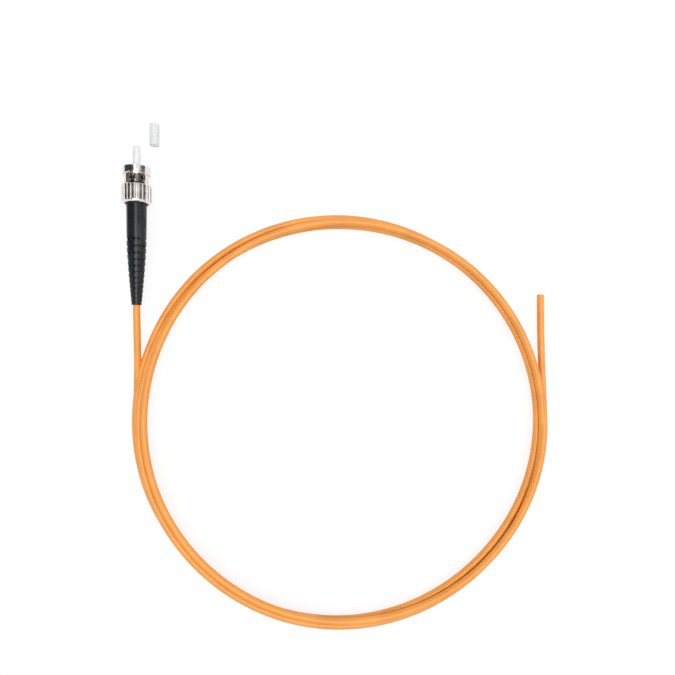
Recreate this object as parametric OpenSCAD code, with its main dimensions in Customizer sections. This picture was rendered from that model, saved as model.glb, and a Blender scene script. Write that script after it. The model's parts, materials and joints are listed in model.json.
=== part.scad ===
// ST fibre connector on a coiled simplex cable, lying on a flat surface.
// Y is the connector's axis, with the ferrule's polished end face at the origin and facing +Y.
// Inside the connector modules, z is the distance back from that end face and +y is up.

/* [Ferrule] */
// Outside diameter of the ceramic ferrule
ferrule_d = 2.5; // [2.3:0.05:2.7]
// Length of ferrule that stands out of the body
ferrule_reach = 9.5; // [8.5:0.1:10.5]
// Length of ferrule pressed into the body
ferrule_seat_l = 3.2; // [2.6:0.1:4]
// Diameter of the polished end face
ferrule_face_d = 1.5; // [1.2:0.1:1.9]
// Length of the cone behind the end face
ferrule_cone_l = 0.6; // [0.3:0.1:1]
// Depth of the funnel that leads the fibre in from behind
ferrule_funnel_l = 1.0; // [0.6:0.1:1.6]
// Length of the glue groove where the ferrule enters the body
glue_groove_l = 0.7; // [0.6:0.05:1]
// Depth of the glue groove
glue_groove_depth = 0.2; // [0.2:0.05:0.3]

/* [Fibre] */
// Diameter of the bare glass fibre
fibre_d = 0.125; // [0.1:0.005:0.15]
// Diameter of the tight buffer round the fibre
buffer_d = 0.9; // [0.8:0.05:1]

/* [Body] */
// Diameter of the barrel that holds the ferrule
barrel_d = 4.9; // [4.4:0.1:5.2]
// Length of the barrel in front of the flange
barrel_l = 2.5; // [2:0.1:2.8]
// Width of the alignment key
key_w = 0.9; // [0.6:0.1:1.3]
// Distance of the key behind the barrel's front face
key_setback = 0.3; // [0.1:0.1:0.8]
// Thickness of the flange
flange_t = 0.9; // [0.6:0.1:1.1]
// Diameter of the shank that the nut turns on
shank_d = 4.6; // [4.4:0.1:4.8]
// Length of shank behind the retaining ring
shank_end_l = 0.6; // [0.4:0.1:0.9]
// Diameter of the crimp barrel below its knurl
crimp_barrel_d = 3.9; // [3.5:0.1:4]
// Length of the crimp barrel
crimp_barrel_l = 7.0; // [6:0.5:7.5]
// Height of the knurl's ridges
knurl_h = 0.12; // [0.06:0.02:0.16]
// Number of ridges in the knurl
knurl_count = 9; // [6:1:12]

/* [Coupling nut] */
// Diameter over the fluted grip
nut_d = 9.6; // [9.2:0.1:10.4]
// Diameter of the front rim
rim_d = 9.2; // [8.8:0.1:9.6]
// Diameter of the neck between rim and grip
neck_d = 8.1; // [7.8:0.1:8.5]
// Diameter of the bore that fits over an adapter's barrel
nut_bore_d = 7.0; // [6.9:0.05:7.3]
// Length of the front rim
rim_l = 2.6; // [2:0.1:3]
// Length of the neck
neck_l = 3.6; // [3:0.1:4]
// Length of the grip
grip_l = 6.2; // [5.6:0.1:7]
// Thickness of the inner shoulder that the spring pushes back
shoulder_t = 0.8; // [0.6:0.1:1]
// Wall round the recess in the rear face
recess_wall = 0.9; // [0.85:0.05:1.1]
// Depth of the recess in the rear face
recess_l = 1.6; // [1.4:0.1:1.9]
// Radius of the grip's rounded rear edge
grip_round_r = 0.8; // [0.4:0.1:0.9]
// Number of flutes round the grip
flute_count = 24; // [18:1:28]
// Depth of a flute
flute_depth = 0.3; // [0.15:0.05:0.4]
// Radius of a flute's hollow
flute_r = 0.42; // [0.3:0.02:0.5]
// Plain length behind the flutes
flute_stop = 0.7; // [0.4:0.1:1.2]
// Angle that each bayonet slot spans
bayonet_arc = 86; // [70:1:96]
// Slant of a bayonet slot
bayonet_slant = 3; // [0:1:5]
// Metal left between a bayonet slot and the rim or the grip
bayonet_margin = 0.15; // [0.1:0.05:0.4]
// Radius of the catch at the end of a bayonet slot
catch_r = 0.8; // [0.5:0.1:1]
// Width of the groove that leads a lug through the rim
lug_groove_w = 1.8; // [1.2:0.1:2.2]
// Depth of the groove that leads a lug through the rim
lug_groove_depth = 0.45; // [0.3:0.05:0.5]

/* [Spring and washer] */
// Diameter of the spring wire
wire_d = 0.38; // [0.3:0.02:0.4]
// Length of the spring at rest
spring_l = 4.15; // [3.8:0.05:4.6]
// Turns in the spring
spring_turns = 4.5; // [4:0.5:5]
// Thickness of the thrust washer
washer_t = 0.4; // [0.3:0.05:0.6]

/* [Retaining ring] */
// Thickness of the retaining ring
ring_t = 0.5; // [0.4:0.05:0.6]
// Outside diameter of the retaining ring
ring_d = 6.0; // [5.6:0.1:6.6]
// Depth of the ring's groove in the shank
groove_depth = 0.4; // [0.3:0.05:0.5]
// Angle of the ring's gap
ring_gap_angle = 60; // [40:5:90]

/* [Crimp sleeve] */
// Wall of the crimp sleeve
sleeve_wall = 0.35; // [0.25:0.05:0.4]
// Length of the wide end that runs on behind the crimp barrel
sleeve_overhang = 0.25; // [0.2:0.05:0.5]
// Length of the cone between the two ends
sleeve_cone_l = 1.0; // [0.8:0.1:1.5]
// Length of the narrow end over the jacket
sleeve_narrow_l = 3.2; // [2:0.1:3.4]
// Thickness of the yarn folded over the crimp barrel
yarn_t = 0.12; // [0.08:0.02:0.16]

/* [Boot] */
// Overall length of the boot
boot_l = 35.4; // [34:0.1:38]
// Length of the collar
collar_l = 1.2; // [0.9:0.1:1.6]
// Diameter just behind the collar
boot_front_d = 6.7; // [6.5:0.1:7]
// Diameter where the taper starts
boot_shoulder_d = 6.38; // [6.2:0.02:6.5]
// Distance from the front to where the taper starts
boot_straight_l = 14.9; // [13:0.1:16]
// Curve of the taper, where 1 is a straight cone
boot_curve = 1.27; // [1:0.01:1.6]
// Number of slot levels
slot_count = 12; // [8:1:12]
// Distance from the front to the first slot
slot_first = 13.2; // [12.8:0.1:13.6]
// Pitch between the first two slots
slot_pitch_first = 2.5; // [2.2:0.05:2.55]
// How much shorter the pitch is at the last slot
slot_pitch_drop = 1.12; // [1:0.02:1.3]
// Width of the first slot
slot_w_first = 0.85; // [0.5:0.05:1]
// Width of the last slot
slot_w_last = 0.5; // [0.3:0.05:0.6]
// Angle that a slot spans
slot_arc = 132; // [110:1:140]
// Radius of the rounding along a slot's edges
slot_lip_r = 0.16; // [0.08:0.02:0.2]
// Wall of the core below the first slot
core_wall_front = 0.76; // [0.5:0.02:0.9]
// Wall of the core at the end
core_wall_end = 0.21; // [0.15:0.01:0.3]
// Depth of the slots at the end, above the core
end_slot_depth = 0.2; // [0.15:0.05:0.4]
// Length of the blank moulded panel along the boot
panel_l = 3.3; // [2:0.1:5]
// Width of the blank moulded panel round the boot
panel_w = 3.0; // [2:0.1:3.6]
// Depth of the blank moulded panel
panel_depth = 0.15; // [0.05:0.05:0.3]
// Distance from the boot's front to the panel's middle
panel_from_front = 7.5; // [5:0.1:9]
// Angle of the panel to the right of straight up
panel_angle = 40; // [0:5:90]

/* [Cable] */
// Outside diameter of the cable's jacket
cable_d = 2.4; // [2.2:0.05:2.5]
// Inner diameter of the coil at its rounded edge
coil_inner_d = 133.8; // [130:0.2:137]
// Outer diameter of the coil
coil_outer_d = 144.2; // [140:0.2:148]
// Height of the coil above the surface
coil_h = 4.6; // [4:0.1:5]
// Place of the coil's middle to the right of the connector's axis
coil_right = 69.6; // [66:0.1:73]
// Place of the coil's middle behind the ferrule's end face
coil_back = 95.2; // [92:0.1:98]

/* [Dust cap] */
// Wall of the dust cap
cap_wall = 0.39; // [0.3:0.01:0.5]
// Length of the dust cap
cap_l = 7.4; // [7:0.1:9]
// Thickness of the cap's closed end
cap_end_t = 0.9; // [0.6:0.1:1.4]
// Place of the cap to the right of the connector's axis
cap_right = 5.0; // [4.5:0.1:8]
// Distance of the cap's closed end in front of the ferrule's end face
cap_ahead = 1.2; // [0.6:0.1:3]

/* [Resting pose] */
// Roll of the whole connector about its axis, which brings a slot up
lie_roll = 21; // [0:1:40]

/* [Clearances] */
// Radial clearance of the fibre in its holes
fibre_play = 0.005; // [0.002:0.001:0.01]
// Radial clearance of the buffer in the body's bore
buffer_play = 0.1; // [0.05:0.05:0.3]
// Radial clearance of the flange in the nut's bore
flange_play = 0.1; // [0.1:0.05:0.3]
// Radial clearance of the key and the thrust washer in the nut's bore
key_play = 0.2; // [0.15:0.05:0.4]
// Radial clearance of the nut on the shank
nut_play = 0.07; // [0.04:0.01:0.09]
// Gap between faces that turn against each other
face_gap = 0.05; // [0.03:0.01:0.08]
// Radial clearance of the retaining ring and the washer on the shank
ring_play = 0.03; // [0.02:0.01:0.06]
// Radial clearance of the boot over the crimp sleeve and the jacket
boot_play = 0.04; // [0.02:0.01:0.06]
// Radial clearance of the boot's collar in the nut's recess
collar_play = 0.15; // [0.1:0.05:0.3]
// Radial clearance of the cap on the ferrule
cap_play = 0.01; // [0:0.01:0.04]

/* [Hidden] */
$fn = 96;

floor_z = -nut_d / 2;
over = 1;

// stations along the axis, from the end face backwards
body_front = ferrule_reach;
ferrule_rear = body_front + ferrule_seat_l;
flange_front = body_front + barrel_l;
flange_rear = flange_front + flange_t;
washer_front = flange_rear + spring_l;
washer_rear = washer_front + washer_t;
shoulder_front = washer_rear + face_gap;
shoulder_rear = shoulder_front + shoulder_t;
ring_front = shoulder_rear + face_gap;
ring_rear = ring_front + ring_t;
shank_rear = ring_rear + shank_end_l;
body_rear = shank_rear + crimp_barrel_l;
nut_rear = shoulder_rear + recess_l;
grip_front = nut_rear - grip_l;
rim_rear = grip_front - neck_l;
nut_front = rim_rear - rim_l;
sleeve_front = shank_rear + face_gap;
sleeve_cone_front = body_rear + sleeve_overhang;
jacket_front = sleeve_cone_front + sleeve_cone_l;
sleeve_rear = jacket_front + sleeve_narrow_l;
boot_front = ring_rear + 4 * face_gap;
boot_rear = boot_front + boot_l;

// sizes that follow from what fits inside what
recess_d = nut_d - 2 * recess_wall;
collar_d = recess_d - 2 * collar_play;
flange_d = nut_bore_d - 2 * flange_play;
key_top = nut_bore_d / 2 - key_play;
washer_d = nut_bore_d - 2 * key_play;
body_bore_d = buffer_d + 2 * buffer_play;
cap_bore_d = ferrule_d + 2 * cap_play;
cap_d = cap_bore_d + 2 * cap_wall;
cable_r = cable_d / 2;
jacket_hole_r = cable_r + boot_play;
boot_end_d = 2 * (jacket_hole_r + core_wall_end + end_slot_depth);
knurl_r = crimp_barrel_d / 2 + knurl_h;
yarn_r = knurl_r + yarn_t;
sleeve_r = yarn_r + sleeve_wall;
sleeve_narrow_r = cable_r + sleeve_wall;
nut_hole_r = shank_d / 2 + nut_play;
spring_r = shank_d / 2 + wire_d;

edge = 0.25;
arc_steps = 4;

// hand-picked route of the cable from inside the boot down to the coil, and of its cut end
lead_start = [[0, -jacket_front, 0], [0, -35, 0], [0, -42, 0], [0, -49, 0]];
lead_free = [[0, -56, 0], [0, -62, -0.3], [-0.2, -68, -1.2], [-0.5, -74, -2.3], [-0.9, -80, -3.2],
    [-1.2, -86, -3.6], [-1.3, -91, -3.6], [-1.3, -95, -3.6]];
tail_route = [[140.5, -95, -3.6], [140.4, -88, -3.6], [140.2, -80, -3.6], [140, -72, -3.6],
    [139.8, -64, -3.6], [139.7, -57, -3.6], [139.7, -50.7, -3.6]];

// ---- shapes that repeat ----

// Lays a connector piece down: its z runs backwards along the axis
module lying() rotate([90, 0, 0]) rotate([0, 0, -lie_roll]) children();

module tube(r_in, r_out, z0, z1) rotate_extrude() translate([r_in, z0]) square([r_out - r_in, z1 - z0]);

// Quarter arc of points about a centre, from angle a0 to a1
function arc(c, r, a0, a1) = [for (i = [0:arc_steps]) let (a = a0 + (a1 - a0) * i / arc_steps)
    c + r * [cos(a), sin(a)]];

// ---- swept tubes ----
function unit(v) = v / norm(v);
function tangent(path, i) = unit(path[min(i + 1, len(path) - 1)] - path[max(i - 1, 0)]);
function across(t, up) = unit(cross(up, t));
function sweep_points(path, r, sides, up) = [for (i = [0:len(path) - 1])
    let (t = tangent(path, i), u = across(t, up), v = cross(t, u))
    for (k = [0:sides - 1]) let (a = 360 * k / sides) path[i] + r * (cos(a) * u + sin(a) * v)];
function sweep_faces(n, sides) = concat(
    [[for (k = [0:sides - 1]) k]],
    [for (i = [0:n - 2], k = [0:sides - 1]) let (a = i * sides + k, b = i * sides + (k + 1) % sides)
        [b, a, a + sides, b + sides]],
    [[for (k = [sides - 1:-1:0]) (n - 1) * sides + k]]);

module swept(path, r, sides, up) {
    polyhedron(sweep_points(path, r, sides, up), sweep_faces(len(path), sides), convexity = 10);
}

// ---- ferrule and fibre ----
module ferrule() color("ivory") lying() {
    r = ferrule_d / 2;
    hole_r = fibre_d / 2 + fibre_play;
    groove_r = r - glue_groove_depth;
    groove_front = body_front - 2 * face_gap;
    groove_rear = groove_front + glue_groove_l;
    rotate_extrude() polygon([[hole_r, 0], [ferrule_face_d / 2, 0], [r, ferrule_cone_l], [r, groove_front],
        [groove_r, groove_front], [groove_r, groove_rear], [r, groove_rear], [r, ferrule_rear],
        [buffer_d / 2, ferrule_rear], [hole_r, ferrule_rear - ferrule_funnel_l]]);
}

module glass_fibre() color("lightblue") lying() cylinder(h = jacket_front, d = fibre_d);

module tight_buffer() color("white") lying() {
    tube(fibre_d / 2 + fibre_play, buffer_d / 2, ferrule_rear, jacket_front);
}

// Folded back over the knurl, and gathered to the jacket's mouth behind the body
module aramid_yarn() color("gold") lying() {
    mouth_r = buffer_d / 2 + yarn_t;
    rotate_extrude() polygon([[knurl_r, sleeve_front + yarn_t], [yarn_r, sleeve_front + yarn_t],
        [yarn_r, body_rear], [mouth_r + 3 * yarn_t, jacket_front], [mouth_r, jacket_front],
        [mouth_r, jacket_front - 2 * yarn_t], [knurl_r, body_rear + yarn_t]]);
}

// ---- body ----
function knurl_points() = [for (i = [0:knurl_count - 1], side = [0, 1])
    [knurl_r - knurl_h * (1 - side), shank_rear + (i + side / 2 + 0.25) * crimp_barrel_l / knurl_count]];

module connector_body() color("silver") lying() difference() {
    union() {
        rotate_extrude() polygon(concat(
            [[0, body_front], [barrel_d / 2 - edge, body_front], [barrel_d / 2, body_front + edge],
                [barrel_d / 2, flange_front], [flange_d / 2 - edge / 2, flange_front],
                [flange_d / 2, flange_front + edge / 2], [flange_d / 2, flange_rear],
                [shank_d / 2, flange_rear], [shank_d / 2, ring_front],
                [shank_d / 2 - groove_depth, ring_front], [shank_d / 2 - groove_depth, ring_rear + ring_play],
                [shank_d / 2, ring_rear + ring_play], [shank_d / 2, shank_rear]],
            knurl_points(),
            [[knurl_r - knurl_h, body_rear], [0, body_rear]]));
        alignment_key();
    }
    translate([0, 0, body_front - over]) cylinder(h = ferrule_seat_l + over, d = ferrule_d);
    translate([0, 0, body_front]) cylinder(h = body_rear - body_front + over, d = body_bore_d);
}

module alignment_key() {
    key_front = body_front + key_setback;
    translate([-key_w / 2, ferrule_d / 2 + edge, key_front])
        cube([key_w, key_top - ferrule_d / 2 - edge - key_w / 4, flange_front - key_front + edge]);
    translate([-key_w / 4, ferrule_d / 2 + edge, key_front])
        cube([key_w / 2, key_top - ferrule_d / 2 - edge, flange_front - key_front + edge]);
}

// ---- spring, washer and retaining ring ----
// Height of the wire's centre after a number of turns: the end turns lie closed
function wire_rise(turn) = let (closed = wire_d * 1.03,
        free = spring_l - wire_d - 2 * fibre_play - 2 * closed)
    turn < 1 ? turn * closed
    : turn > spring_turns - 1 ? closed + free + (turn - spring_turns + 1) * closed
    : closed + free * (turn - 1) / (spring_turns - 2);

module spring() color("gainsboro") lying() {
    steps = 18;
    path = [for (i = [0:spring_turns * steps]) let (turn = i / steps)
        [spring_r * cos(360 * turn), spring_r * sin(360 * turn),
            flange_rear + wire_d / 2 + fibre_play + wire_rise(turn)]];
    swept(path, wire_d / 2, 8, [0, 0, 1]);
}

module spring_washer() color("silver") lying() {
    tube(shank_d / 2 + ring_play, washer_d / 2, washer_front, washer_rear);
}

module retaining_ring() color("dimgray") lying() rotate([0, 0, ring_gap_angle / 2])
    rotate_extrude(angle = 360 - ring_gap_angle)
        translate([shank_d / 2 - groove_depth + ring_play, ring_front])
            square([ring_d / 2 - shank_d / 2 + groove_depth - ring_play, ring_t]);

// ---- coupling nut ----
module nut_blank() rotate_extrude() polygon(concat(
    [[nut_bore_d / 2, nut_front + edge], [nut_bore_d / 2 + edge, nut_front], [rim_d / 2 - edge, nut_front],
        [rim_d / 2, nut_front + edge], [rim_d / 2, rim_rear - edge / 2], [rim_d / 2 - edge / 2, rim_rear],
        [neck_d / 2, rim_rear], [neck_d / 2, grip_front], [nut_d / 2 - edge, grip_front],
        [nut_d / 2, grip_front + edge]],
    arc([nut_d / 2 - grip_round_r, nut_rear - grip_round_r], grip_round_r, 0, 90),
    [[recess_d / 2, nut_rear], [recess_d / 2, shoulder_rear], [nut_hole_r, shoulder_rear],
        [nut_hole_r, shoulder_front], [nut_bore_d / 2, shoulder_front]]));

// One bayonet slot, centred on straight up: a slanted window, the catch at its end, and the lug's way in
module bayonet_slot() {
    window_l = neck_l - 2 * bayonet_margin;
    middle = (rim_rear + grip_front) / 2;
    reach = rim_d;
    end_angle = bayonet_arc / 2 - 15;
    groove_end = rim_rear + 2 * edge;
    intersection() {
        rotate([0, 0, 90 - bayonet_arc / 2]) rotate_extrude(angle = bayonet_arc)
            translate([nut_hole_r, rim_rear - rim_l / 2]) square([reach - nut_hole_r, neck_l + rim_l]);
        translate([0, 0, middle]) rotate([0, bayonet_slant, 0])
            translate([-reach, 0, -window_l / 2]) cube([2 * reach, reach, window_l]);
    }
    rotate([0, 0, end_angle]) translate([0, nut_hole_r, rim_rear + bayonet_margin]) rotate([-90, 0, 0])
        cylinder(h = reach - nut_hole_r, r = catch_r);
    intersection() {
        cylinder(h = groove_end, r = nut_bore_d / 2 + lug_groove_depth);
        rotate([0, 0, -end_angle]) translate([-lug_groove_w / 2, nut_hole_r, nut_front - over])
            cube([lug_groove_w, reach, groove_end - nut_front + over]);
    }
}

module bayonet_nut() color("lightgray") lying() difference() {
    nut_blank();
    for (i = [0:flute_count - 1]) rotate([0, 0, 90 + (i + 0.5) * 360 / flute_count])
        translate([nut_d / 2 + flute_r - flute_depth, 0, grip_front - over])
            cylinder(h = grip_l + over - flute_stop, r = flute_r, $fn = 24);
    for (turn = [0, 180]) rotate([0, 0, turn]) bayonet_slot();
}

// ---- crimp sleeve ----
module crimp_sleeve() color("darkgray") lying() rotate_extrude() polygon([
    [yarn_r, sleeve_front], [sleeve_r, sleeve_front], [sleeve_r, sleeve_cone_front],
    [sleeve_narrow_r, jacket_front], [sleeve_narrow_r, sleeve_rear], [cable_r, sleeve_rear],
    [cable_r, jacket_front], [yarn_r, sleeve_cone_front]]);

// ---- boot ----
// Outside radius of the boot at a distance behind its front
function boot_r(s) = s < boot_straight_l
    ? boot_front_d / 2 + (boot_shoulder_d - boot_front_d) / 2 * s / boot_straight_l
    : boot_shoulder_d / 2 - (boot_shoulder_d - boot_end_d) / 2
        * pow(min(1, (s - boot_straight_l) / (boot_l - boot_straight_l)), boot_curve);
// Radius of the core that the slots lay bare
function core_r(s) = let (share = max(0, min(1, (s - slot_first) / (boot_l - slot_first))))
    jacket_hole_r + core_wall_front + (core_wall_end - core_wall_front) * share;
function slot_at(i) = slot_first + slot_pitch_first * i - slot_pitch_drop / 2 * i * i / (slot_count - 1);
function slot_w(i) = slot_w_first + (slot_w_last - slot_w_first) * i / (slot_count - 1);

// Stations for the outline: the ends of the straight part, then even steps down the taper
function boot_stations() = concat([collar_l, boot_straight_l],
    [for (i = [1:9]) boot_straight_l + (boot_l - edge - boot_straight_l) * i / 9]);

module boot_blank() rotate_extrude() polygon(concat(
    [[0, boot_front], [collar_d / 2 - edge / 2, boot_front], [collar_d / 2, boot_front + edge / 2],
        [collar_d / 2, boot_front + collar_l - edge / 2], [collar_d / 2 - edge / 2, boot_front + collar_l]],
    [for (s = boot_stations()) [boot_r(s), boot_front + s]],
    [[boot_end_d / 2 - edge / 2, boot_rear], [0, boot_rear]]));

// One slot of level i, from the core outwards, with rounded edges where it meets the outside
module boot_slot(i) {
    s = slot_at(i);
    half = slot_w(i) / 2;
    front = s - half;
    rear = s + half;
    lip = slot_lip_r;
    inset = 0.7 * lip;
    rotate_extrude(angle = slot_arc) translate([0, boot_front]) polygon(concat(
        [[core_r(rear), rear], [core_r(front), front]],
        arc([boot_r(front) - inset, front - lip], lip, 90, 0),
        [[collar_d, front - lip], [collar_d, rear + lip]],
        arc([boot_r(rear) - inset, rear + lip], lip, 0, -90)));
}

module boot_bore() {
    wide = max(sleeve_r, shank_d / 2) + boot_play;
    narrow = sleeve_narrow_r + boot_play;
    rotate_extrude() polygon([[0, boot_front - over], [wide, boot_front - over],
        [wide, sleeve_cone_front + boot_play], [narrow, jacket_front + boot_play],
        [narrow, sleeve_rear + boot_play], [jacket_hole_r, sleeve_rear + boot_play + edge],
        [jacket_hole_r, boot_rear + over], [0, boot_rear + over]]);
}

module boot() color("#2b2e33") lying() difference() {
    panel_floor = boot_r(panel_from_front) - 2 * panel_depth;
    boot_blank();
    boot_bore();
    for (i = [0:slot_count - 1], side = [0, 180])
        rotate([0, 0, side + (i % 2 == 0 ? 135 : 45) - slot_arc / 2]) boot_slot(i);
    rotate([0, 0, -panel_angle])
        translate([-panel_w / 2, panel_floor, boot_front + panel_from_front - panel_l / 2])
            cube([panel_w, over, panel_l]);
}

// ---- dust cap ----
module dust_cap() color("whitesmoke")
    translate([cap_right, cap_ahead, floor_z + cap_d / 2]) rotate([-90, 0, 0]) rotate_extrude() polygon([
        [0, 0], [cap_d / 2 - edge, 0], [cap_d / 2, edge], [cap_d / 2, cap_l - edge / 2],
        [cap_d / 2 - edge / 2, cap_l], [cap_bore_d / 2, cap_l], [cap_bore_d / 2, cap_end_t], [0, cap_end_t]]);

// ---- cable ----
module cable_lead() color("orange") swept(concat(lead_start, lead_free), cable_r, 8, [0, 0, 1]);

module cable_coil() color("orange") translate([coil_right, -coil_back, floor_z]) rotate_extrude() {
    width = (coil_outer_d - coil_inner_d) / 2;
    for (x = [cable_r, width - cable_r], z = [cable_r, coil_h - cable_r])
        translate([coil_inner_d / 2 + x, z]) circle(r = cable_r);
    translate([coil_inner_d / 2 + cable_r, 0]) square([width - cable_d, coil_h]);
    translate([coil_inner_d / 2, cable_r]) square([width, coil_h - cable_d]);
}

module cable_tail() color("orange") swept(tail_route, cable_r, 8, [0, 0, 1]);

ferrule();
glass_fibre();
tight_buffer();
aramid_yarn();
connector_body();
spring();
spring_washer();
bayonet_nut();
retaining_ring();
crimp_sleeve();
boot();
dust_cap();
cable_lead();
cable_coil();
cable_tail();
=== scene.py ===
# ST fibre connector on its coiled cable, with the dust cap beside it.
# The machined and moulded parts come from the frame; cable, spring and cut end are made here.
import json
import math

import bpy
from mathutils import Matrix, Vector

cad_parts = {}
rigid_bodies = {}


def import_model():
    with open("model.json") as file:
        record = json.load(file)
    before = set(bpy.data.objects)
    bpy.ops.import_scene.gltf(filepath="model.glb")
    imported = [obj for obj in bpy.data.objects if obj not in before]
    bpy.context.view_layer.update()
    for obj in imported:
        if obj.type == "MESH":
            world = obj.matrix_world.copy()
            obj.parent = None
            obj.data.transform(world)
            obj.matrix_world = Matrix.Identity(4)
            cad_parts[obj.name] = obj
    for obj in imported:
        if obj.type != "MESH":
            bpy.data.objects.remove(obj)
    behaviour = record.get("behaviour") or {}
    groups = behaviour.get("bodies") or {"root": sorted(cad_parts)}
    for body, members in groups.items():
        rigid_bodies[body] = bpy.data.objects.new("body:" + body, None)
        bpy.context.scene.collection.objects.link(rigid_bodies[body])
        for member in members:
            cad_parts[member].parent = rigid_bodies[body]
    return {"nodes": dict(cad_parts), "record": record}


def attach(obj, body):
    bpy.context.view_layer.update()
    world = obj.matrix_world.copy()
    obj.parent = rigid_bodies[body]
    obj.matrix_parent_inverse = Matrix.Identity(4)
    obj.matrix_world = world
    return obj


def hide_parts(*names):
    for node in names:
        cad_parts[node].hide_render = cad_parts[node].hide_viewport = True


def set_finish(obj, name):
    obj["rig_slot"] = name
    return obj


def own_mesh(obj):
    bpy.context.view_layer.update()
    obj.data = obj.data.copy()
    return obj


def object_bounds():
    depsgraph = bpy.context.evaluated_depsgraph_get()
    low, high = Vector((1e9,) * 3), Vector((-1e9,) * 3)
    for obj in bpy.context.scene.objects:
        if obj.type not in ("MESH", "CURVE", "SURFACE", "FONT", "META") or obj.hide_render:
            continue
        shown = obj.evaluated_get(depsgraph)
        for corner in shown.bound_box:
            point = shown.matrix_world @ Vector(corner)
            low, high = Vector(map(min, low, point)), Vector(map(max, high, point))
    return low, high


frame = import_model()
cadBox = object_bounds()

mm = 0.001
nodes = frame["nodes"]
floorZ = cadBox[0].z
print("frame loaded:", len(nodes), "parts")


# ---- camera ----
cameraSetup = {"place": (68.8 * mm, -65.58 * mm, 180 * mm), "lens": 28.03, "sensor": 36}


def makeCamera(c):
    data = bpy.data.cameras.new("camera")
    data.lens = c["lens"]
    data.sensor_width = c["sensor"]
    data.clip_start = 0.005
    data.clip_end = 10
    eye = bpy.data.objects.new("camera", data)
    eye.location = c["place"]
    bpy.context.scene.collection.objects.link(eye)
    bpy.context.scene.camera = eye


makeCamera(cameraSetup)
print("camera looks straight down")


# ---- cable ----
cable = {
    "radius": 1.2,
    # from the jacket's mouth inside the boot down to the coil
    "lead": [(0, -27.7, 0), (0, -35, 0), (0, -42, 0), (0, -49, 0), (0, -56, 0), (0, -62, -0.3),
             (-0.2, -68, -1.2), (-0.5, -74, -2.3), (-0.9, -80, -3.2), (-1.2, -86, -3.6)],
    # out of the coil to the cut end
    "tail": [(140.2, -80, -3.4), (140, -72, -3.6), (139.8, -64, -3.6), (139.7, -57, -3.6),
             (139.7, -50.7, -3.6)],
    "coilMiddle": (69.6, -95.2),
    "startDegrees": 180,
    "degreesWound": 1260,
    # distance from the coil's middle at every markDegrees, turn by turn, starting at the left
    "markDegrees": 45,
    "turns": [
        [70.8, 70.0, 68.8, 68.2, 68.8, 69.9, 71.2, 71.8],
        [70.9, 69.2, 67.7, 67.0, 68.0, 68.5, 68.7, 69.4],
        [69.2, 68.6, 68.9, 69.7, 69.2, 69.6, 69.4, 68.4],
        [67.1, 66.6, 67.1, 68.6, 69.5],
    ],
    "stepDegrees": 5,
    "mostStacked": 2,  # thicknesses that a turn may lie above the surface
    "evenedOver": 4,  # steps on each side that a height is averaged with
    "roundness": 6,
    "length": 1637 * mm,
}


# Distance from the coil's middle, eased between the values in the dictionary
def coilRadius(angle):
    flat = [r for turn in cable["turns"] for r in turn]
    i = min(int(angle // cable["markDegrees"]), len(flat) - 2)
    t = angle / cable["markDegrees"] - i
    before = flat[max(i - 1, 0)]
    after = flat[min(i + 2, len(flat) - 1)]
    a, b = flat[i], flat[i + 1]
    return 0.5 * (2 * a + (b - before) * t + (2 * before - 5 * a + 4 * b - after) * t * t
                  + (3 * a - before - 3 * b + after) * t ** 3)


# Each turn rests on the turns laid before it, up to mostStacked
def restingHeights(radii):
    perTurn = 360 // cable["stepDegrees"]
    thick = 2 * cable["radius"]
    heights = []
    for i, r in enumerate(radii):
        height = 0
        for j in range(i - perTurn, -1, -perTurn):
            apart = abs(r - radii[j])
            if apart < thick:
                height = max(height, heights[j] + math.sqrt(thick ** 2 - apart ** 2))
        heights.append(min(height, cable["mostStacked"] * thick))
    reach = cable["evenedOver"]
    near = [heights[max(0, i - reach):i + reach + 1] for i in range(len(heights))]
    return [sum(n) / len(n) for n in near]


def coilPoints():
    step = cable["stepDegrees"]
    radii = [coilRadius(step * i) for i in range(cable["degreesWound"] // step + 1)]
    heights = restingHeights(radii)
    points = []
    for i, (r, h) in enumerate(zip(radii, heights)):
        a = math.radians(cable["startDegrees"] + i * step)
        x = cable["coilMiddle"][0] + r * math.cos(a)
        y = cable["coilMiddle"][1] + r * math.sin(a)
        points.append((x, y, floorZ / mm + cable["radius"] + h))
    return points


def makeCable():
    route = cable["lead"] + coilPoints() + cable["tail"]
    curve = bpy.data.curves.new("cable", "CURVE")
    curve.dimensions = "3D"
    curve.bevel_depth = 1  # each point carries the cable's radius
    curve.bevel_resolution = cable["roundness"]
    curve.resolution_u = 5
    curve.use_fill_caps = True
    spline = curve.splines.new("NURBS")
    spline.points.add(len(route) - 1)
    for point, (x, y, z) in zip(spline.points, route):
        point.co = (x * mm, y * mm, z * mm, 1)
        point.radius = cable["radius"] * mm
    spline.order_u = 3
    spline.use_endpoint_u = True
    piece = bpy.data.objects.new("cable_jacket", curve)
    bpy.context.scene.collection.objects.link(piece)
    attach(piece, "connector")
    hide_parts("cable_lead", "cable_coil", "cable_tail")
    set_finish(piece, "orange_jacket")
    return piece


jacket = makeCable()
print("cable laid")


# ---- helpers for modelled pieces ----
def deselectAll():
    for o in bpy.context.view_layer.objects:
        o.select_set(False)


def useOnly(o):
    deselectAll()
    bpy.context.view_layer.objects.active = o
    o.select_set(True)


# Names the active object and puts its place in its mesh
def finishPiece(name, slotName):
    piece = bpy.context.active_object
    piece.name = name
    useOnly(piece)
    bpy.ops.object.transform_apply(location=True, rotation=True, scale=True)
    bpy.ops.object.shade_smooth_by_angle(angle=math.radians(35))
    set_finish(piece, slotName)
    return piece


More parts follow.
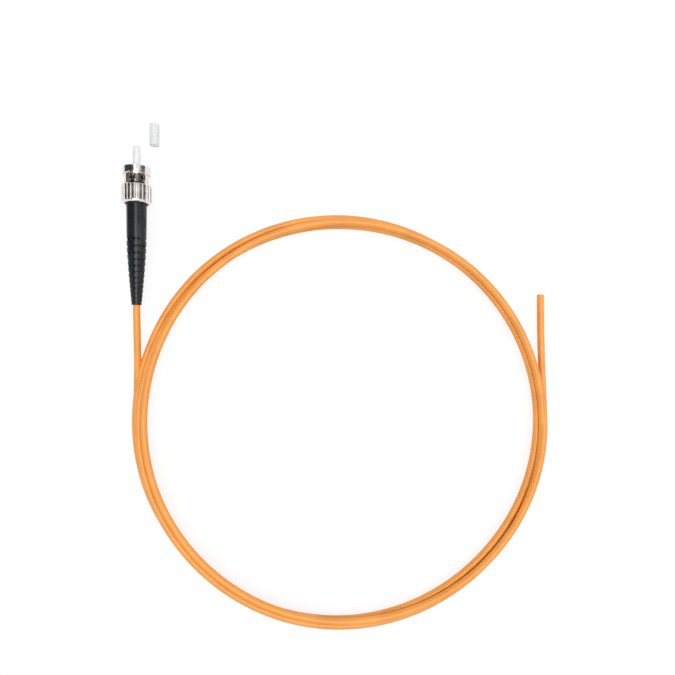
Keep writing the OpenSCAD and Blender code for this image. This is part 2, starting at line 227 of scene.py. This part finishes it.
# ---- spring ----
spring = {
    "wire": 0.38 * mm,
    "coilRadius": 2.68 * mm,
    "front": -12.9 * mm,
    "length": 4.15 * mm,
    "play": 0.005 * mm,
    "rollDegrees": 21,
    "turns": 4.5,
    "stepsPerTurn": 32,
    "wireSides": 16,
    "closedPitch": 1.03,  # wires between the closed end turns
    "keep": 0.518,
}


# How far the wire's middle has travelled after some turns: the two end turns lie closed
def springRise(s, turn):
    closed = s["closedPitch"] * s["wire"]
    free = s["length"] - s["wire"] - 2 * s["play"] - 2 * closed
    if turn < 1:
        return turn * closed
    if turn > s["turns"] - 1:
        return closed + free + (turn - s["turns"] + 1) * closed
    return closed + free * (turn - 1) / (s["turns"] - 2)


def makeSpring(s):
    roll = math.radians(s["rollDegrees"])
    sides = s["wireSides"]
    steps = int(s["turns"] * s["stepsPerTurn"])
    startY = s["front"] - s["wire"] / 2 - s["play"]
    deselectAll()
    bpy.ops.mesh.primitive_circle_add(vertices=sides, radius=s["wire"] / 2,
                                      location=(s["coilRadius"], startY, 0))
    piece = bpy.context.active_object
    bpy.ops.object.transform_apply(location=True, rotation=True, scale=True)
    screw = piece.modifiers.new("wind", "SCREW")
    screw.axis = "Y"
    screw.angle = -s["turns"] * math.tau
    screw.steps = steps
    screw.render_steps = steps
    bpy.ops.object.modifier_apply(modifier="wind")
    for v in piece.data.vertices:
        v.co.y -= springRise(s, v.index // sides / s["stepsPerTurn"])
    bpy.ops.object.mode_set(mode="EDIT")
    bpy.ops.mesh.select_all(action="SELECT")
    bpy.ops.mesh.fill_holes(sides=0)
    bpy.ops.mesh.select_all(action="SELECT")
    bpy.ops.mesh.normals_make_consistent(inside=False)
    bpy.ops.object.mode_set(mode="OBJECT")
    piece.rotation_euler = (0, roll, 0)
    finishPiece("spring_wire", "spring_steel")
    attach(piece, "connector")
    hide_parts("spring")
    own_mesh(piece)
    return piece


springWire = makeSpring(spring)
print("spring wound")


# ---- cut end of the cable ----
cutEnd = {
    "place": (139.7 * mm, -50.7 * mm, -3.6 * mm),
    "yarnRadius": 0.85 * mm,
    "bufferRadius": 0.45 * mm,
    "glassRadius": 0.0625 * mm,
    "stands": 0.04 * mm,
    "sunk": 0.3 * mm,
    "tufts": 14,
}


# A short round stub that stands a little out of the cut face, with a softened rim
def makeStub(name, slotName, radius, stands):
    c = cutEnd
    x, y, z = c["place"]
    length = c["sunk"] + stands
    deselectAll()
    bpy.ops.mesh.primitive_cylinder_add(vertices=32, radius=radius, depth=length,
                                        location=(x, y + stands - length / 2, z),
                                        rotation=(math.radians(-90), 0, 0))
    bpy.ops.object.mode_set(mode="EDIT")
    bpy.ops.mesh.select_all(action="SELECT")
    bpy.ops.mesh.bevel(offset=min(radius, stands) * 0.4, segments=2)
    bpy.ops.object.mode_set(mode="OBJECT")
    piece = finishPiece(name, slotName)
    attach(piece, "connector")
    return piece


# A ring of yarn bundles between the jacket and the buffer
def makeYarnEnds():
    c = cutEnd
    x, y, z = c["place"]
    ringRadius = (c["yarnRadius"] + c["bufferRadius"]) / 2
    bundle = 0.85 * ringRadius * math.pi / c["tufts"]
    bundles = []
    for i in range(c["tufts"]):
        a = math.tau * i / c["tufts"]
        deselectAll()
        bpy.ops.mesh.primitive_uv_sphere_add(
            segments=12, ring_count=8, radius=bundle,
            location=(x + ringRadius * math.cos(a), y - 0.3 * bundle, z + ringRadius * math.sin(a)))
        bpy.ops.transform.resize(value=(1, 1.4 + 0.3 * (i % 3), 1))
        bundles.append(bpy.context.active_object)
    deselectAll()
    for o in bundles:
        o.select_set(True)
    bpy.context.view_layer.objects.active = bundles[0]
    bpy.ops.object.join()
    piece = finishPiece("cut_yarn", "aramid")
    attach(piece, "connector")
    return piece


cutYarn = makeYarnEnds()
cutBuffer = makeStub("cut_buffer", "white_buffer", cutEnd["bufferRadius"], 3 * cutEnd["stands"])
cutGlass = makeStub("cut_glass", "fibre_glass", cutEnd["glassRadius"], 5 * cutEnd["stands"])
print("cut end made")


# ---- finishes ----
def newFinish(name, color, roughness, metallic=0):
    made = bpy.data.materials.new(name)
    made.use_nodes = True
    shader = made.node_tree.nodes["Principled BSDF"]
    shader.inputs["Base Color"].default_value = (*color, 1)
    shader.inputs["Roughness"].default_value = roughness
    shader.inputs["Metallic"].default_value = metallic
    return made, made.node_tree, shader


# Noise on the piece's own coordinates, stretched by scale
def grain(tree, scale, detail=3):
    place = tree.nodes.new("ShaderNodeTexCoord")
    mapping = tree.nodes.new("ShaderNodeMapping")
    mapping.inputs["Scale"].default_value = scale
    noise = tree.nodes.new("ShaderNodeTexNoise")
    noise.inputs["Scale"].default_value = 1
    noise.inputs["Detail"].default_value = detail
    tree.links.new(place.outputs["Object"], mapping.inputs["Vector"])
    tree.links.new(mapping.outputs["Vector"], noise.inputs["Vector"])
    return noise.outputs["Fac"]


def addBump(tree, shader, height, strength, distance):
    bump = tree.nodes.new("ShaderNodeBump")
    bump.inputs["Strength"].default_value = strength
    bump.inputs["Distance"].default_value = distance
    tree.links.new(height, bump.inputs["Height"])
    tree.links.new(bump.outputs["Normal"], shader.inputs["Normal"])


# Roughness that wanders between two values
def addWear(tree, shader, source, low, high):
    spread = tree.nodes.new("ShaderNodeMapRange")
    spread.inputs["From Min"].default_value = 0.3
    spread.inputs["From Max"].default_value = 0.7
    spread.inputs["To Min"].default_value = low
    spread.inputs["To Max"].default_value = high
    tree.links.new(source, spread.inputs["Value"])
    tree.links.new(spread.outputs["Result"], shader.inputs["Roughness"])


# Colour that wanders between two shades
def addShades(tree, shader, source, dark, light):
    ramp = tree.nodes.new("ShaderNodeValToRGB")
    ramp.color_ramp.elements[0].position = 0.3
    ramp.color_ramp.elements[0].color = (*dark, 1)
    ramp.color_ramp.elements[1].position = 0.7
    ramp.color_ramp.elements[1].color = (*light, 1)
    tree.links.new(source, ramp.inputs["Fac"])
    tree.links.new(ramp.outputs["Color"], shader.inputs["Base Color"])


nickel = {"name": "nickel plate", "dark": (0.74, 0.70, 0.67), "light": (0.84, 0.805, 0.775)}
# darker copy of the nickel plate for the body inside the nut: painted shade, not a duller plating
shadedNickel = {"name": "nickel plate with painted shade", "dark": (0.22, 0.19, 0.17), "light": (0.30, 0.265, 0.24)}


def nickelFinish(n):
    made, tree, shader = newFinish(n["name"], n["dark"], 0.16, metallic=1)
    turningMarks = grain(tree, (300, 14000, 300))
    addBump(tree, shader, turningMarks, 0.03, 0.002 * mm)
    clouds = grain(tree, (400, 600, 400))
    addWear(tree, shader, clouds, 0.09, 0.16)
    addShades(tree, shader, clouds, n["dark"], n["light"])
    return made


def springFinish():
    made, tree, shader = newFinish("drawn spring steel", (0.42, 0.41, 0.40), 0.3, metallic=1)
    streaks = grain(tree, (9000, 9000, 9000))
    addWear(tree, shader, streaks, 0.22, 0.42)
    addBump(tree, shader, streaks, 0.1, 0.005 * mm)
    return made


zirconia = {"dark": (0.70, 0.705, 0.705), "light": (0.76, 0.765, 0.765)}


def zirconiaFinish():
    made, tree, shader = newFinish("zirconia", zirconia["light"], 0.14)
    addShades(tree, shader, grain(tree, (700, 700, 700)), zirconia["dark"], zirconia["light"])
    addBump(tree, shader, grain(tree, (900, 12000, 900)), 0.02, 0.002 * mm)
    shader.inputs["Subsurface Weight"].default_value = 0.15
    shader.inputs["Subsurface Radius"].default_value = (1, 1, 1)
    shader.inputs["Subsurface Scale"].default_value = 0.4 * mm
    shader.inputs["IOR"].default_value = 1.8
    return made


bootRubber = {"dark": (0.006, 0.007, 0.0095), "light": (0.011, 0.0125, 0.017)}


def bootFinish():
    made, tree, shader = newFinish("moulded boot", bootRubber["light"], 0.34)
    addShades(tree, shader, grain(tree, (350, 350, 350)), bootRubber["dark"], bootRubber["light"])
    pores = grain(tree, (9000, 9000, 9000), detail=5)
    addBump(tree, shader, pores, 0.04, 0.01 * mm)
    addWear(tree, shader, grain(tree, (500, 260, 500)), 0.20, 0.27)
    shader.inputs["Specular IOR Level"].default_value = 0.32
    return made


def capFinish():
    made, tree, shader = newFinish("clear moulded cap", (0.78, 0.785, 0.785), 0.3)
    addShades(tree, shader, grain(tree, (120, 120, 120)), (0.74, 0.75, 0.75), (0.79, 0.80, 0.80))
    addWear(tree, shader, grain(tree, (800, 800, 800)), 0.22, 0.34)
    shader.inputs["Transmission Weight"].default_value = 0.15
    shader.inputs["IOR"].default_value = 1.49
    return made


jacketPlastic = {"dark": (0.70, 0.262, 0.034), "light": (0.82, 0.32, 0.048)}


def jacketFinish():
    made, tree, shader = newFinish("extruded jacket", jacketPlastic["light"], 0.36)
    addShades(tree, shader, grain(tree, (90, 90, 90)), jacketPlastic["dark"], jacketPlastic["light"])
    addBump(tree, shader, grain(tree, (2500, 2500, 2500), detail=4), 0.05, 0.01 * mm)
    addWear(tree, shader, grain(tree, (300, 300, 300)), 0.28, 0.38)
    shader.inputs["Specular IOR Level"].default_value = 0.5
    return made


def yarnFinish():
    made, tree, shader = newFinish("aramid yarn", (0.80, 0.58, 0.20), 0.6)
    threads = grain(tree, (20000, 1500, 20000), detail=5)
    addShades(tree, shader, threads, (0.62, 0.42, 0.12), (0.88, 0.68, 0.28))
    addBump(tree, shader, threads, 0.5, 0.03 * mm)
    return made


def bufferFinish():
    made, tree, shader = newFinish("white buffer", (0.85, 0.85, 0.83), 0.4)
    addShades(tree, shader, grain(tree, (1500, 1500, 1500)), (0.78, 0.78, 0.76), (0.88, 0.88, 0.86))
    return made


def glassFinish():
    made, tree, shader = newFinish("glass fibre", (0.88, 0.93, 0.95), 0.04)
    addWear(tree, shader, grain(tree, (9000, 9000, 9000)), 0.02, 0.08)
    shader.inputs["Transmission Weight"].default_value = 0.9
    return made


finishes = {
    "zirconia": zirconiaFinish(),
    "fibre_glass": glassFinish(),
    "white_buffer": bufferFinish(),
    "aramid": yarnFinish(),
    "nickel_plate": nickelFinish(nickel),
    "spring_steel": springFinish(),
    "black_boot": bootFinish(),
    "clear_cap": capFinish(),
    "orange_jacket": jacketFinish(),
}


def dress(piece, slotName):
    piece.data.materials.clear()
    piece.data.materials.append(finishes[slotName])


for part in frame["record"]["subparts"]:
    dress(nodes[part["node"]], part["material_slot"])
for piece in [jacket, springWire, cutYarn, cutBuffer, cutGlass]:
    dress(piece, piece["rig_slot"])
# the body inside the nut gets a darker copy of the nickel plate: painted shade for the recess inside
# the nut
nodes["connector_body"].data.materials[0] = nickelFinish(shadedNickel)
print("finishes on:", len(finishes))


# ---- studio ----
studio = {
    "floorSize": 4,
    "floorGlow": 0.86,  # share of the floor that shines, the rest keeps the shadow
    "worldFill": 0.55,
    # name, place, width, length, power
    "lamps": [
        ("right lamp", (0.50, 0.10, 0.50), 0.12, 0.8, 1.2),
        ("left lamp", (-0.62, 0.10, 0.40), 0.10, 0.8, 0.6),
        ("top lamp", (0.07, -0.07, 0.80), 0.50, 0.80, 4.0),
    ],
    # name, place, width, length: dark strips that metal mirrors
    "cards": [
        ("left card", (-0.30, 0.10, 0.24), 0.34, 0.9),
        ("right card", (0.40, 0.10, 0.10), 0.08, 0.9),
    ],
}


# White for the eye and for mirrors, and the fill level for everything else
def brightForEye(tree):
    path = tree.nodes.new("ShaderNodeLightPath")
    glossy = tree.nodes.new("ShaderNodeMath")
    glossy.operation = "MAXIMUM"
    clear = tree.nodes.new("ShaderNodeMath")
    clear.operation = "MAXIMUM"
    tree.links.new(path.outputs["Is Camera Ray"], glossy.inputs[0])
    tree.links.new(path.outputs["Is Glossy Ray"], glossy.inputs[1])
    tree.links.new(glossy.outputs[0], clear.inputs[0])
    tree.links.new(path.outputs["Is Transmission Ray"], clear.inputs[1])
    return clear.outputs[0]


def makeWorld():
    world = bpy.data.worlds.new("studio")
    world.use_nodes = True
    bpy.context.scene.world = world
    tree = world.node_tree
    fill = tree.nodes["Background"]
    fill.inputs["Strength"].default_value = studio["worldFill"]
    fill.inputs["Color"].default_value = (1, 1, 1, 1)
    white = tree.nodes.new("ShaderNodeBackground")
    white.inputs["Color"].default_value = (1, 1, 1, 1)
    mix = tree.nodes.new("ShaderNodeMixShader")
    tree.links.new(brightForEye(tree), mix.inputs["Fac"])
    tree.links.new(fill.outputs[0], mix.inputs[1])
    tree.links.new(white.outputs[0], mix.inputs[2])
    tree.links.new(mix.outputs[0], tree.nodes["World Output"].inputs["Surface"])


def makeFloor():
    deselectAll()
    bpy.ops.mesh.primitive_plane_add(size=studio["floorSize"], location=(0, 0, floorZ))
    floor = bpy.context.active_object
    floor.name = "floor"
    made, tree, shader = newFinish("floor", (0.93, 0.93, 0.93), 0.7)
    glow = tree.nodes.new("ShaderNodeEmission")
    glow.inputs["Color"].default_value = (1, 1, 1, 1)
    share = tree.nodes.new("ShaderNodeMath")
    share.operation = "MULTIPLY"
    share.inputs[1].default_value = studio["floorGlow"]
    mix = tree.nodes.new("ShaderNodeMixShader")
    tree.links.new(brightForEye(tree), share.inputs[0])
    tree.links.new(share.outputs[0], mix.inputs["Fac"])
    tree.links.new(shader.outputs[0], mix.inputs[1])
    tree.links.new(glow.outputs[0], mix.inputs[2])
    tree.links.new(mix.outputs[0], tree.nodes["Material Output"].inputs["Surface"])
    floor.data.materials.append(made)


# Turns an object's -Z towards the connector
def aim(piece):
    toward = -piece.location.normalized()
    piece.rotation_euler = toward.to_track_quat("-Z", "Y").to_euler()


def makeLamps():
    for name, place, width, length, power in studio["lamps"]:
        light = bpy.data.lights.new(name, "AREA")
        light.shape = "RECTANGLE"
        light.size = width
        light.size_y = length
        light.energy = power
        lamp = bpy.data.objects.new(name, light)
        lamp.location = place
        bpy.context.scene.collection.objects.link(lamp)
        aim(lamp)


# Dark cards show only in reflections, and cast no shadow
def makeCards():
    made, tree, shader = newFinish("dark card", (0.02, 0.02, 0.02), 0.9)
    for name, place, width, length in studio["cards"]:
        deselectAll()
        bpy.ops.mesh.primitive_plane_add(size=1, location=place)
        card = bpy.context.active_object
        card.name = name
        card.scale = (width, length, 1)
        aim(card)
        card.data.materials.append(made)
        card.visible_camera = False
        card.visible_shadow = False
        card.visible_diffuse = False
        card.visible_transmission = False


makeWorld()
makeFloor()
makeLamps()
makeCards()
bpy.context.scene.view_settings.view_transform = "Standard"
print("studio lit")
